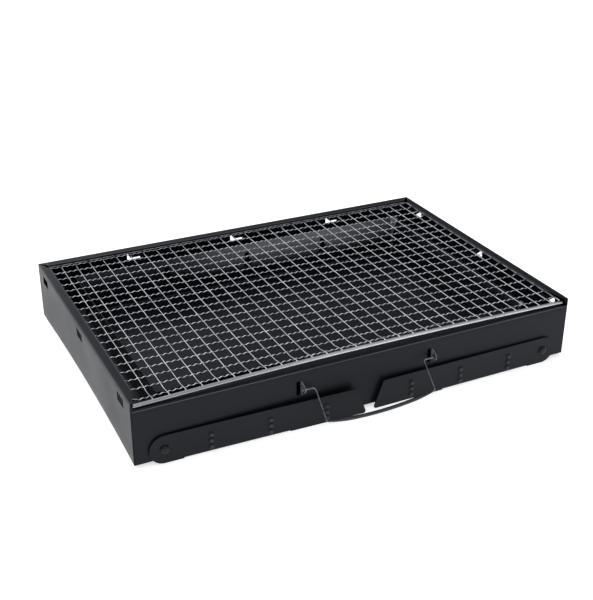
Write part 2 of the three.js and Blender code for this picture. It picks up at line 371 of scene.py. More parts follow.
wall_heights = cuts(mid_base, mid_top, COURSE, window_low, window_high, EAR_Z - EAR_TALL / 2,
                    EAR_Z + EAR_TALL / 2, front_top)
y_cuts = cuts(mid_front, mid_back, CELL, *(mid_front + d for d in CORNER_CUTS),
              *marks([middle_y + s for s in SIDE_STEPS], WINDOW / 2, TAB_HALF))
x_cuts = cuts(-mid_x, mid_x, CELL, *marks(BACK_STEPS, BACK_WINDOW / 2, BACK_TAB_HALF),
              *marks([0], EAR_X), -EAR_X - EAR_WINDOW, EAR_X - EAR_WINDOW)

shell_grid = SheetGrid()
shell_grid.panel(lambda a, b: Vector((a, b, mid_base)), x_cuts, y_cuts)
for side in (-1, 1):
    shell_grid.panel(lambda a, b: Vector((side * mid_x, a, b)), y_cuts, wall_heights, side_windows)
# The front and back walls sit between the side walls, with a narrow seam.
inner_x = [-mid_x + SEAM + SKIN] + x_cuts[1:-1] + [mid_x - SEAM - SKIN]
closed_x = [-mid_x + SKIN] + x_cuts[1:-1] + [mid_x - SKIN]
front_heights = [h for h in wall_heights if h <= front_top + HAIR]
shell_grid.panel(lambda a, b: Vector((end_x(a, b), mid_front, b)),
                 inner_x, front_heights, ear_windows)
shell_grid.panel(lambda a, b: Vector((end_x(a, b), mid_back, b)),
                 closed_x, wall_heights, back_windows)
print("shell panels:", len(shell_grid.bm.faces), "cells")

# %% Fold the lips
LIP_CUTS = (0.0, 0.35, 0.7, 1.0)
LIP_START = 0.3
LIP_RUN = 20 * MM
MITRE_ZONE = 3 * MM


def side_lip(side, y, share):
    """A side lip runs out to a point near the front, and is mitred at the back."""
    narrow = min(1.0, LIP_START + (1 - LIP_START) * (y - mid_front) / LIP_RUN)
    reach = min(SIDE_LIP * narrow, max(mid_back - y, 0) + SKIN)
    return Vector((side * (mid_x - share * reach), y, mid_top))


def mitre_x(x, inward):
    """Shortens the end of a long lip by as much as it reaches in."""
    return x - math.copysign(min(inward, abs(x)), x) if abs(x) > mid_x - MITRE_ZONE else x


for side in (-1, 1):
    shell_grid.panel(lambda a, b: side_lip(side, a, b),
                     [y for y in y_cuts if y > mid_front + MM / 2], LIP_CUTS)
shell_grid.panel(
    lambda a, b: Vector((mitre_x(a, b * SIDE_LIP), mid_back - b * SIDE_LIP, mid_top)),
    closed_x, LIP_CUTS)
shell_grid.panel(
    lambda a, b: Vector((mitre_x(a, b * FRONT_LIP), mid_front + b * FRONT_LIP, front_top)),
    inner_x, LIP_CUTS)
print("lips folded in:", len(shell_grid.bm.faces), "cells")

# %% [markdown]
# Each window is pierced on three sides, and its tab hangs inwards from the
# uncut top edge, sprung a little way back by the bend.

# %% Turn the tabs inwards from the top of each window
TAB_CUTS = (0.0, TAB_LONG / 2, TAB_LONG)
NEAR_FOLD = 0.1 * MM
for side in (-1, 1):
    for step in SIDE_STEPS:
        centre = middle_y + step
        span = [y for y in y_cuts if abs(y - centre) <= TAB_HALF + HAIR]
        shell_grid.panel(lambda a, b: Vector((side * (mid_x - b), a, window_high - b * SIDE_DROOP)),
                         span, TAB_CUTS)
for step in BACK_STEPS:
    span = [x for x in x_cuts if abs(x - step) <= BACK_TAB_HALF + HAIR]
    shell_grid.panel(lambda a, b: Vector((a, mid_back - b, window_high - b * BACK_DROOP)),
                     span, TAB_CUTS)

top_folds = shell_grid.fold(lambda p: p.z > front_top - NEAR_FOLD and p.z > window_high + MM
                            or abs(p.z - front_top) < NEAR_FOLD, BEND)
base_folds = shell_grid.fold(lambda p: p.z < mid_base + NEAR_FOLD, BEND)
print("folds rounded:", top_folds, "at the top,", base_folds, "at the base")
shell = make_object("body_shell_sheet", shell_grid.bm)

# %% [markdown]
# The thin walls are never quite flat. The lower edge of each end wall is drawn in
# a little along its middle, and the front wall has a shallow crease beside the
# right ear and stands a little higher at its left end. Moving the finished sheet's
# points keeps both sides of it together.

# %% Give the sheet its slight bow
WALL_BOW = 2.4 * MM
BOW_POWER = 1.3
WALL_ZONE = 30 * MM
CREASE_DEEP = 0.35 * MM
CREASE_SLOPE = 0.11
CREASE_TALL = 3.5 * MM
CREASE_LONG = 60 * MM
CREASE_MIDDLE = 20 * MM
CREASE_FROM = (EAR_X - 4 * MM, EAR_Z - 9 * MM)
TILT_ZONE = 4 * MM


def bow_in(point):
    """How far an end wall's point is drawn in, most at the bottom middle."""
    along = (point.y - middle_y) / half_y
    down = 1 - (point.z - base_z) / (top_z - base_z)
    return WALL_BOW * max(0.0, 1 - along * along) * max(0.0, down) ** BOW_POWER


def crease(point):
    """How far the front wall is pushed in along its crease."""
    off_line = (point.x - CREASE_FROM[0]) * CREASE_SLOPE - (point.z - CREASE_FROM[1])
    band = math.exp(-(off_line / CREASE_TALL) ** 2)
    return CREASE_DEEP * band * math.exp(-((point.x - CREASE_MIDDLE) / CREASE_LONG) ** 2)


def bow_shell(piece):
    for vert in piece.data.vertices:
        near_wall = max(0.0, (abs(vert.co.x) - (half_x - WALL_ZONE)) / WALL_ZONE)
        vert.co.x -= math.copysign(bow_in(vert.co) * near_wall, vert.co.x)
        if vert.co.y < front_y + 1.5 * MM:
            vert.co.y += crease(vert.co)
        in_front = vert.co.y < front_y + FRONT_LIP + SHEET and vert.co.z < front_top + MM
        if in_front and abs(vert.co.x) < half_x - 0.9 * MM:
            share = max(0.0, (vert.co.z - (front_top - TILT_ZONE)) / TILT_ZONE)
            vert.co.z -= FRONT_TILT * min(1.0, share) * vert.co.x / half_x


shell = thicken(shell, SHEET)
bow_shell(shell)
print("shell points:", len(shell.data.vertices))

# %% [markdown]
# The handle hangs in two ears. Each ear is cut out of the front wall on three
# sides and swung out on its fourth, so it stands beside its own window. Its nose
# is rounded and has a hole for the wire.

# %% Make the ears
EAR_HOLE = 1.2 * MM
EAR_PIVOT_OUT = 4.2 * MM
EAR_LEAN = 0.26
EAR_LEAN_MIDDLE = 0.6
EAR_ROOT = 0.6 * MM
NOSE = 3.0 * MM
NOSE_TALL = 1.15
NOSE_TURN = math.radians(62)
EAR_HOLE_SIDES = 16
EAR_EDGE = 0.12 * MM


def ear_outline():
    """The ear in its own plane: distance out of the wall, and height."""
    half = EAR_TALL / 2
    points = [(-SHEET, -half), (EAR_ROOT, -half)]
    for k in range(9):
        angle = NOSE_TURN * (k / 4 - 1)
        points.append((EAR_OUT - NOSE + NOSE * math.cos(angle),
                       NOSE * NOSE_TALL * math.sin(angle)))
    return points + [(EAR_ROOT, half), (-SHEET, half)]


def make_ear(side):
    bm = bmesh.new()
    outline = ear_outline()
    hole_outline = [(EAR_PIVOT_OUT + EAR_HOLE * math.cos(a), EAR_HOLE * math.sin(a))
                    for a in (2 * math.pi * k / EAR_HOLE_SIDES for k in range(EAR_HOLE_SIDES))]
    # The ear is swung a little too far, most at its top.
    outer, hole = ([bm.verts.new((side * EAR_X + out * EAR_LEAN * (EAR_LEAN_MIDDLE + up / EAR_TALL),
                                  front_y - out, EAR_Z + up)) for out, up in loop]
                   for loop in (outline, hole_outline))
    edges = [bm.edges.new(pair) for pair in zip(outer, outer[1:] + outer[:1])]
    edges += [bm.edges.new(pair) for pair in zip(hole, hole[1:] + hole[:1])]
    bmesh.ops.triangle_fill(bm, use_beauty=True, edges=edges)
    ear = make_object(f"handle_ear_{'right' if side > 0 else 'left'}", bm, smooth=False)
    return soften(thicken(ear, SHEET), EAR_EDGE)


ears = [make_ear(side) for side in (-1, 1)]
print("ears:", [ear.name for ear in ears])

# %% [markdown]
# ## The charcoal pan
# The pan is a second, smaller tray that stands clear of the shell, so the outside
# stays cooler. Its long walls have keyhole slots that feed air to the coals.

# %% Fold the pan
VENT_STEPS = (-90.0 * MM, 0.0, 90.0 * MM)
VENT_LOW = 25.0 * MM
VENT_HIGH = 41.0 * MM
VENT_HALF = 4.5 * MM
VENT_NECK = 2.4 * MM
VENT_ROOM = 9.0 * MM
PAN_RAISED = 8 * MM
PAN_BEND = 2.2 * MM
PAN_BEND_STEPS = 4
PAN_LEAN = 5.0 * MM
PAN_LEAN_FROM = 20 * MM
IN_WALL = 0.97
pan_x = pan_high.x - SKIN
pan_y = (pan_high.y - pan_low.y) / 2 - SKIN
pan_floor = base_z + PAN_RAISED + SKIN
pan_rim = pan_high.z


def pan_vents(a, b):
    """A keyhole: wide below and narrow above."""
    height = b - base_z
    offset = min(abs(a - s) for s in VENT_STEPS)
    if not VENT_LOW < height < VENT_HIGH:
        return False
    return offset < (VENT_HALF if height < VENT_LOW + VENT_ROOM else VENT_NECK)


pan_heights = cuts(pan_floor, pan_rim, COURSE / 2,
                   *(base_z + h for h in (VENT_LOW, VENT_LOW + VENT_ROOM, VENT_HIGH)),
                   pan_rim - 3 * MM)
pan_x_cuts = cuts(-pan_x, pan_x, CELL, *marks(VENT_STEPS, VENT_HALF, VENT_NECK))
pan_y_cuts = cuts(middle_y - pan_y, middle_y + pan_y, CELL)
pan_grid = SheetGrid()
pan_grid.panel(lambda a, b: Vector((a, b, pan_floor)), pan_x_cuts, pan_y_cuts)
for side in (-1, 1):
    pan_grid.panel(lambda a, b: Vector((side * pan_x, a, b)), pan_y_cuts, pan_heights)
    pan_grid.panel(lambda a, b: Vector((a, middle_y + side * pan_y, b)),
                   pan_x_cuts, pan_heights, pan_vents)
pan_folds = pan_grid.fold(lambda p: True, PAN_BEND, PAN_BEND_STEPS)
pan = thicken(make_object("charcoal_pan_tray", pan_grid.bm), SHEET)
for vert in pan.data.vertices:
    # The tops of the walls lean out a little.
    up = max(0.0, (vert.co.z - (pan_rim - PAN_LEAN_FROM)) / PAN_LEAN_FROM)
    away = Vector((vert.co.x / pan_x, (vert.co.y - middle_y) / pan_y, 0))
    for k in range(2):
        if abs(away[k]) > IN_WALL:
            vert.co[k] += math.copysign(PAN_LEAN * up * up, away[k])
print("pan folds rounded:", pan_folds)

# %% [markdown]
# ## The leg frames
# Each leg frame is one strip of steel bent into a wide U: a strap in front, a
# strap behind, and a panel between them under the box. The strap's inner end is
# round, about its rivet. Its free end is cut at a slant, so that it stands flat
# when the leg is folded out. The straps spring away from the walls, so a dark gap
# widens towards their free ends.

# %% Leg frame shape
LEG_SHEET = 0.9 * MM
STRAP = left_high.z - left_low.z
STRAP_HALF = STRAP / 2
STRAP_REACH = left_high.x + abs(pivot_x)
SPLAY = math.radians(20.6)
SLANT = STRAP * math.tan(SPLAY)
PANEL_FROM = 16.3 * MM
PANEL_TO = 112.0 * MM
PIVOT_HOLE = 2.3 * MM
LEG_BEND = 1.6 * MM
CORNER_ROUND = 2.2 * MM
FLARE_POWER = 1.25
OUTLINE_STEPS = 24


def strap_outline():
    """The strap about its pivot, running along +X."""
    points = []
    for k in range(17):
        angle = math.radians(90 + 180 * k / 16)
        points.append(Vector((STRAP_HALF * math.cos(angle), STRAP_HALF * math.sin(angle), 0)))
    bend_line = -STRAP_HALF + LEG_BEND
    bottom = [Vector((PANEL_FROM, -STRAP_HALF, 0))]
    bottom += [Vector((x, bend_line, 0)) for x in cuts(PANEL_FROM, PANEL_TO, COURSE)]
    bottom += [Vector((PANEL_TO, -STRAP_HALF, 0)), Vector((STRAP_REACH - 12 * MM, -STRAP_HALF, 0))]
    top_end = STRAP_REACH - SLANT
    nose = rounded_path([bottom[-1], Vector((STRAP_REACH, -STRAP_HALF, 0)),
                         Vector((top_end, STRAP_HALF, 0)),
                         Vector((top_end * (1 - 1 / OUTLINE_STEPS), STRAP_HALF, 0))],
                        CORNER_ROUND, 4)
    top = [Vector((top_end * k / OUTLINE_STEPS, STRAP_HALF, 0))
           for k in range(OUTLINE_STEPS - 2, 0, -1)]
    return points + bottom + nose[1:] + top


print(f"strap {1000 * STRAP:.1f} mm wide, reaches {1000 * STRAP_REACH:.0f} mm")

# %% [markdown]
# The strap is drawn as a flat outline filled with a fine grid of triangles, so
# that it can be bent smoothly. The pressed marks on the strap are plain stacks of
# three round pips here: each pip lifts the sheet with soft shoulders.

# %% Bend the straps and the panel
PIP = 2.1 * MM
PIP_STEP = 5.8 * MM
PIP_LIFT = 1.5 * MM
PIP_SOFT = 0.9 * MM
MARK_PLACES = (40.0 * MM, 93.5 * MM, 146.0 * MM)
MARK_DROP = 2.6 * MM
MARK_ZONE = 6 * MM
FINE_CUT = 0.8 * MM
COARSE_EVERY = 8
PIVOT_SIDES = 20
PANEL_ARC = 5


def mark_lift(x, z):
    """Height of the pressed marks, three round pips stacked, at a point of the strap."""
    lift = 0.0
    for place in MARK_PLACES:
        for row in (-1, 0, 1):
            gap = math.hypot(x - place, z + MARK_DROP - row * PIP_STEP) - PIP
            t = min(1.0, max(0.0, 0.5 - gap / (2 * PIP_SOFT)))
            lift = max(lift, PIP_LIFT * t * t * (3 - 2 * t))
    return lift


def strap_sheet(bm, wall, inner, flare):
    """Adds one strap, standing off its wall. wall is -1 in front and 1 behind."""
    outline = [bm.verts.new(p) for p in strap_outline()]
    hole = [bm.verts.new((PIVOT_HOLE * math.cos(a), PIVOT_HOLE * math.sin(a), 0))
            for a in (2 * math.pi * k / PIVOT_SIDES for k in range(PIVOT_SIDES))]
    edges = [bm.edges.new(pair) for pair in zip(outline, outline[1:] + outline[:1])]
    edges += [bm.edges.new(pair) for pair in zip(hole, hole[1:] + hole[:1])]
    bmesh.ops.triangle_fill(bm, use_beauty=True, edges=edges)
    # Cut the strap along a fine grid, so that the marks can rise out of it.
    verts = set(outline + hole)
    for axis, low, high in ((0, -STRAP_HALF, STRAP_REACH), (1, -STRAP_HALF, STRAP_HALF)):
        count = int((high - low) / FINE_CUT)
        for k in range(1, count):
            at = low + (high - low) * k / count
            near_mark = axis == 1 or any(abs(at - m) < MARK_ZONE for m in MARK_PLACES)
            if not near_mark and k % COARSE_EVERY:
                continue
            point = Vector((at, 0, 0)) if axis == 0 else Vector((0, at, 0))
            normal = Vector((1, 0, 0)) if axis == 0 else Vector((0, 1, 0))
            geom = [g for g in list(verts) if g.is_valid]
            live_faces = {f for v in geom for f in v.link_faces}
            live_edges = {e for v in geom for e in v.link_edges}
            cut = bmesh.ops.bisect_plane(bm, geom=geom + list(live_edges) + list(live_faces),
                                         plane_co=point, plane_no=normal)
            verts = {v for v in geom if v.is_valid}
            verts |= {g for g in cut["geom_cut"] if isinstance(g, bmesh.types.BMVert)}
    for vert in verts:
        x, z = vert.co.x, vert.co.y
        out = inner + flare * max(0.0, x / STRAP_REACH) ** FLARE_POWER + mark_lift(x, z)
        vert.co = Vector((x, wall * out, z))


def panel_sheet(bm, inner, flare):
    """Adds the cross panel, with its two side bends running up into the straps."""
    drop = LEG_BEND - LEG_SHEET / 2
    rows = []
    for x in cuts(PANEL_FROM, PANEL_TO, COURSE):
        edge = inner + flare * (x / STRAP_REACH) ** FLARE_POWER
        row = []
        for wall in (-1, 1):
            arc = [Vector((x, wall * (edge - LEG_BEND + LEG_BEND * math.sin(a)),
                           -STRAP_HALF + LEG_BEND - drop * math.cos(a)))
                   for a in (math.pi / 2 * k / (PANEL_ARC - 1) for k in range(PANEL_ARC))]
            row += list(reversed(arc)) if wall < 0 else arc
        rows.append([bm.verts.new(p) for p in row])
    for first, second in zip(rows, rows[1:]):
        for k in range(len(first) - 1):
            bm.faces.new((first[k], first[k + 1], second[k + 1], second[k]))


def make_leg(name, node, side, flare):
    """flare is how far the straps' free ends are sprung off the walls."""
    low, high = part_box(node)
    wide = min(high.y - middle_y, middle_y - low.y)
    inner = wide - flare - LEG_SHEET / 2
    bm = bmesh.new()
    for wall in (-1, 1):
        strap_sheet(bm, wall, inner, flare)
    panel_sheet(bm, inner, flare)
    for vert in bm.verts:
        vert.co.x *= -side
    if side > 0:
        bmesh.ops.reverse_faces(bm, faces=bm.faces[:])
    bmesh.ops.recalc_face_normals(bm, faces=bm.faces[:])
    leg = make_object(name, bm)
    leg.data.transform(Matrix.Translation((side * abs(pivot_x), middle_y, pivot_z)))
    return thicken(leg, LEG_SHEET)


WASHER_GAP = 1.2 * MM
closed_depth = half_y + WASHER_GAP + LEG_SHEET
LEFT_FLARE = left_high.y - middle_y - closed_depth
RIGHT_FLARE = right_high.y - middle_y - closed_depth
left_leg = make_leg("left_leg_sheet", "left_leg_frame", -1, LEFT_FLARE)
right_leg = make_leg("right_leg_sheet", "right_leg_frame", 1, RIGHT_FLARE)
print(f"flare {1000 * LEFT_FLARE:.1f} mm left, {1000 * RIGHT_FLARE:.1f} mm right")

# %% [markdown]
# ## The rivets
# A rivet is turned round its own axis: a low dome outside, a short shank, and a
# squashed tail inside the wall. A turned profile gives the dome a true curve, with
# the small flat rim that a rivet set leaves.

# %% Turn the rivets
TURN_SIDES = 32
HEAD_DEEP = 2.0 * MM
SHANK = 2.0 * MM
HEAD_RIM = 0.35 * MM
DOME = 1.6 * MM
DOME_FILL = 0.96
DOME_STEPS = 8


def turn_profile(name, profile, x, wall):
    """Turns [radius, distance out of the wall] about the rivet's axis."""
    sides = TURN_SIDES
    bm = bmesh.new()
    rings = []
    for radius, out in profile:
        if radius == 0:
            rings.append([bm.verts.new((x, middle_y + wall * out, pivot_z))])
            continue
        rings.append([bm.verts.new((x + radius * math.cos(a), middle_y + wall * out,
                                    pivot_z + radius * math.sin(a)))
                      for a in (2 * math.pi * k / sides for k in range(sides))])
    for first, second in zip(rings, rings[1:]):
        for k in range(sides):
            j = (k + 1) % sides
            loop = [first[k % len(first)], first[j % len(first)],
                    second[j % len(second)], second[k % len(second)]]
            bm.faces.new(list(dict.fromkeys(loop)))
    bmesh.ops.recalc_face_normals(bm, faces=bm.faces[:])
    return make_object(name, bm)


def rivet_profile(node):
    """From the squashed tail inside the wall to the dome outside the strap."""
    low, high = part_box(node)
    reach = max(high.y - middle_y, middle_y - low.y)
    tail = min(abs(high.y - middle_y), abs(low.y - middle_y))
    head = (high.x - low.x) / 2
    seat = reach - HEAD_DEEP
    points = [(0, tail), (2.6 * MM, tail), (3.3 * MM, tail + 0.35 * MM), (3.4 * MM, tail + MM),
              (SHANK, tail + MM), (SHANK, seat), (head - 0.25 * MM, seat),
              (head, seat + 0.12 * MM), (head, seat + HEAD_RIM)]
    for k in range(1, DOME_STEPS):
        angle = math.pi / 2 * k / DOME_STEPS
        points.append((head * DOME_FILL * math.cos(angle),
                       seat + HEAD_RIM + DOME * math.sin(angle)))
    return points + [(0, seat + HEAD_RIM + DOME)]


rivets = {}
for side, side_name in ((-1, "left"), (1, "right")):
    for wall, wall_name in ((-1, "front"), (1, "back")):
        node = f"rivet_{wall_name}_{side_name}"
        rivets[node] = turn_profile(f"{node}_turned", rivet_profile(node), side * abs(pivot_x), wall)
print("rivets:", len(rivets))

# %% [markdown]
# ## The cooking mesh
# The mesh is woven: straight wires run from front to back and crimped wires cross
# them, over one and under the next. Two and a half crimps fit between two straight
# wires, so neighbouring wires meet on opposite sides of the weave. The edge is a
# rod bent into a U, with the wire ends curled over it, and the front is a thick
# bright bar that the straight wires are welded to. The whole mesh sags and bows a
# little, and every wire follows the same bow.

# %% Mesh sizes and its bow
WIRE = 0.48 * MM
WIRE_SIDES = 8
ROD = 0.95 * MM
ROD_SIDES = 14
BAR = 1.75 * MM
BAR_SIDES = 20
LONG_COUNT = 29
LONG_PITCH = 14.27 * MM
LONG_SHIFT = 5.6 * MM
LONG_CLOSING = 7
CROSS_COUNT = 20
CROSS_PITCH = 14.18 * MM
CRIMPS_PER_PITCH = 2.5
CRIMP_DEEP = 0.47 * MM
MESH_Z = (rod_low.z + rod_high.z) / 2
ROD_INSET = 2.8 * MM
ROD_X = rod_high.x - ROD_INSET
ROD_Y = rod_high.y - ROD_INSET
cross_low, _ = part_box("mesh_cross_wire_01")
first_cross_y = cross_low.y + 0.7 * MM
bar_y = bar_low.y + BAR
bar_z = bar_low.z + BAR
BAR_SWING = 1.8 * MM
BAR_MORE = 1.1 * MM
BAR_TILT = 0.6 * MM
FRONT_BOW = 3.1 * MM
MIDDLE_BOW = 1.3 * MM
MIDDLE_FADE = 60 * MM
CORNER_DIP = 2.6 * MM
CORNER_LONG = 95 * MM
CORNER_DEEP = 13 * MM
WAVE = 0.25 * MM
WAVES_ALONG = 23
WAVES_BACK = 9


def mesh_bow(x, y):
    """How far the mesh stands above its flat height at a place."""
    across = max(0.0, 1 - (x / half_x) ** 2)
    behind = max(0.0, y - bar_y)
    middle = MIDDLE_BOW * across * math.exp(-behind / MIDDLE_FADE)
    corner_x = max(0.0, 1 - (x + half_x) / CORNER_LONG)
    corner_y = math.exp(-(max(0.0, behind - 6 * MM) / CORNER_DEEP) ** 1.4)
    wave = WAVE * math.sin(x * WAVES_ALONG + y * WAVES_BACK) * across
    return middle - CORNER_DIP * corner_x ** 1.1 * corner_y + wave


def bar_bow(x):
    """The bar bows up in the middle, and its left end rests a little higher."""
    bow = FRONT_BOW * max(0.0, 1 - (x / bar_high.x) ** 2) ** 1.2
    return bow + BAR_TILT * (1 - x / bar_high.x)


def bar_line(x):
    """The bar's place from front to back; its left end is swung out a little."""
    return bar_y - BAR_SWING * max(0.0, -x / bar_high.x) ** 2


def long_wire_x(index):
    """The weave sits a little to the right, and its last wires close up again."""
    last = LONG_COUNT - 1
    return (index - last / 2) * LONG_PITCH + LONG_SHIFT * min(1.0, (last - index) / LONG_CLOSING)


print(f"mesh at {1000 * MESH_Z:.1f} mm, bar at {1000 * bar_z:.1f} mm")

# %% Lay the straight wires
WIRE_ON_BAR = 1.5 * MM
WIRE_DROP = 0.2 * MM
LEAVES_BAR = 2 * MM
SETTLES_IN = 12 * MM
WIRE_STEP = 4 * MM
WRAP = ROD + WIRE


def long_wire_points(x):
    """From its weld on the bar, down to the weave, and over the rod behind."""
    on_bar = bar_z + bar_bow(x) + WIRE_ON_BAR
    points = [Vector((x, bar_line(x) + 0.9 * MM, on_bar - WIRE_DROP)),
              Vector((x, bar_line(x) + 2.2 * MM, on_bar))]
    y = bar_y + 6 * MM
    while y < ROD_Y - 5 * MM:
        blend = max(0.0, 1 - (y - bar_y - LEAVES_BAR) / SETTLES_IN)
        flat = MESH_Z + mesh_bow(x, y)
        points.append(Vector((x, y, flat * (1 - blend) + on_bar * blend)))
        y += WIRE_STEP
    for k in range(7):
        angle = math.radians(100 - 25 * k)
        points.append(Vector((x, ROD_Y + WRAP * math.cos(angle), MESH_Z + WRAP * math.sin(angle))))
    return points


straight_bm = bmesh.new()
for i in range(LONG_COUNT):
    chain, sizes = round_ended(long_wire_points(long_wire_x(i)), WIRE, 2)
    tube_into(straight_bm, chain, sizes, WIRE_SIDES)
straight_wires = make_object("mesh_straight_wires", straight_bm)
print("straight wires:", LONG_COUNT)

# %% Crimp the cross wires
CRIMP = LONG_PITCH / CRIMPS_PER_PITCH
CRIMP_POINTS = 9
CROSS_SHORT = 3.5 * MM
CRIMP_FADE = 4 * MM
RISE_TO_ROD = 0.8


def cross_wire_points(y, phase):
    """Curled over the rod at both ends, and crimped between."""
    points = []
    for k in range(5):
        angle = math.radians(200 - 20 * k)
        points.append(Vector((-ROD_X + WRAP * math.cos(angle), y, MESH_Z + WRAP * math.sin(angle))))
    reach = ROD_X - CROSS_SHORT
    count = round(2 * reach / (CRIMP / CRIMP_POINTS))
    for k in range(count + 1):
        x = -reach + 2 * reach * k / count
        fade = min(1.0, (reach - abs(x)) / CRIMP_FADE)
        lift = CRIMP_DEEP * math.sin(2 * math.pi * x / CRIMP + phase) * fade
        lift += WRAP * (1 - fade) * RISE_TO_ROD
        points.append(Vector((x, y, MESH_Z + mesh_bow(x, y) + lift)))
    for k in range(1, 6):
        angle = math.radians(80 - 20 * k)
        points.append(Vector((ROD_X + WRAP * math.cos(angle), y, MESH_Z + WRAP * math.sin(angle))))
    return points


cross_wires = []
for i in range(CROSS_COUNT):
    y = first_cross_y + i * CROSS_PITCH
    phase = math.pi / 2 + (i % 2) * math.pi
    chain, sizes = round_ended(cross_wire_points(y, phase), WIRE, 2)
    bm = bmesh.new()
    tube_into(bm, chain, sizes, WIRE_SIDES)
    cross_wires.append(make_object(f"mesh_crimped_wire_{i + 1:02d}", bm))
print("crimped wires:", len(cross_wires))

# %% Bend the rod and the front bar
ROD_CORNER = 7 * MM
BAR_STEPS = 80
BEAD = (1.05 * MM, 1.25 * MM, 0.8 * MM, 1)
BEAD_BACK = 1.0 * MM
BEAD_UP = 1.25 * MM


def rod_points():
    """The rod's U, which dips with the mesh at its left front corner."""
    front = bar_y + MM
    corners = [Vector((-ROD_X, front, MESH_Z)), Vector((-ROD_X, ROD_Y, MESH_Z)),
               Vector((ROD_X, ROD_Y, MESH_Z)), Vector((ROD_X, front, MESH_Z))]
    path = rounded_path(corners, ROD_CORNER, 8, 5 * MM)
    return [p + Vector((0, 0, min(0.0, mesh_bow(p.x, p.y)))) for p in path]


rod_bm = bmesh.new()
chain, sizes = round_ended(rod_points(), ROD, 3)
tube_into(rod_bm, chain, sizes, ROD_SIDES)
frame_rod = make_object("mesh_edge_rod", rod_bm)

bar_long = bar_high.x + BAR_MORE - bar_low.x
bar_points = [Vector((x, bar_line(x), bar_z + bar_bow(x)))
              for x in (bar_low.x + bar_long * k / BAR_STEPS for k in range(BAR_STEPS + 1))]
chain, sizes = round_ended(bar_points, BAR, 6)
bar_bm = bmesh.new()
tube_into(bar_bm, chain, sizes, BAR_SIDES)
for i in range(LONG_COUNT):
    # A small weld bead where each straight wire meets the bar.
    x = long_wire_x(i)
    bead = Matrix.Translation((x, bar_line(x) + BEAD_BACK, bar_z + bar_bow(x) + BEAD_UP))
    bmesh.ops.create_icosphere(bar_bm, subdivisions=2, radius=1.0, matrix=bead @ Matrix.Diagonal(BEAD))
front_bar = make_object("mesh_front_bar", bar_bm)
print("rod and bar made")

# %% [markdown]
# ## The carrying handle
# The handle is one wire bent into a bail. Its ends turn outwards through the two
# ears, so it cannot drop out. A plastic sleeve covers the grip, which is bowed
# outwards to leave room for fingers.

# %% Bend the handle
HANDLE_WIRE = 0.75 * MM
LEAN = math.radians(47)
LEG_SPAN = 54 * MM
TIP_SPAN = 67 * MM
HANDLE_LONG = 30.3 * MM
HANDLE_BOW = 3.9 * MM
HANDLE_SKEW = 0.035
HANDLE_CORNER = 2.6 * MM
SLEEVE = 1.7 * MM
SLEEVE_SHORT = 4.5 * MM
SLEEVE_STEPS = 40
SLEEVE_TAPER = 6
GRIP_STEPS = 28
handle_pivot = Vector(joints["handle_swing"]["pos_m"])


def on_handle(x, u):
    """A point of the bail: along the grill, and away from its pivot."""
    u *= 1 - HANDLE_SKEW * x / LEG_SPAN
    return handle_pivot + Vector((x, -u * math.sin(LEAN), -u * math.cos(LEAN)))


def handle_grip_points(half_span, count):
    """The bowed grip, as a shallow arc."""
    return [on_handle(x, HANDLE_LONG + HANDLE_BOW * (1 - (x / LEG_SPAN) ** 2))
            for x in (-half_span + 2 * half_span * k / count for k in range(count + 1))]


grip_chain = handle_grip_points(LEG_SPAN - 5 * MM, GRIP_STEPS)
left_part, right_part = (
    rounded_path([on_handle(side * TIP_SPAN, 0), on_handle(side * LEG_SPAN, 0),
                  on_handle(side * LEG_SPAN, HANDLE_LONG), inner_end], HANDLE_CORNER, 7)
    for side, inner_end in ((-1, grip_chain[0]), (1, grip_chain[-1])))
wire_chain = left_part[:-1] + grip_chain + right_part[::-1][1:]
chain, sizes = round_ended(wire_chain, HANDLE_WIRE, 3)
handle_bm = bmesh.new()
tube_into(handle_bm, chain, sizes, ROD_SIDES)
handle_wire = make_object("handle_bail", handle_bm)

sleeve_points = handle_grip_points(LEG_SPAN - SLEEVE_SHORT, SLEEVE_STEPS)
sleeve_bm = bmesh.new()
# The sleeve's cut ends are drawn down onto the wire.
sleeve_sizes = [SLEEVE * min(1.0, 0.5 + 0.5 * min(k, SLEEVE_STEPS - k) / SLEEVE_TAPER)
                for k in range(SLEEVE_STEPS + 1)]
tube_into(sleeve_bm, sleeve_points, sleeve_sizes, BAR_SIDES)
sleeve = make_object("handle_sleeve", sleeve_bm)
print("handle made")

# %% [markdown]
# ## Shader maths as plain expressions
# A finish is a few sums on noise: a stain here, a scratch there. The class below
# wraps a socket, so that `1 - mask * 0.4` adds the Math nodes by itself. Any other
# node comes from one method, which sets its options first and its inputs after.

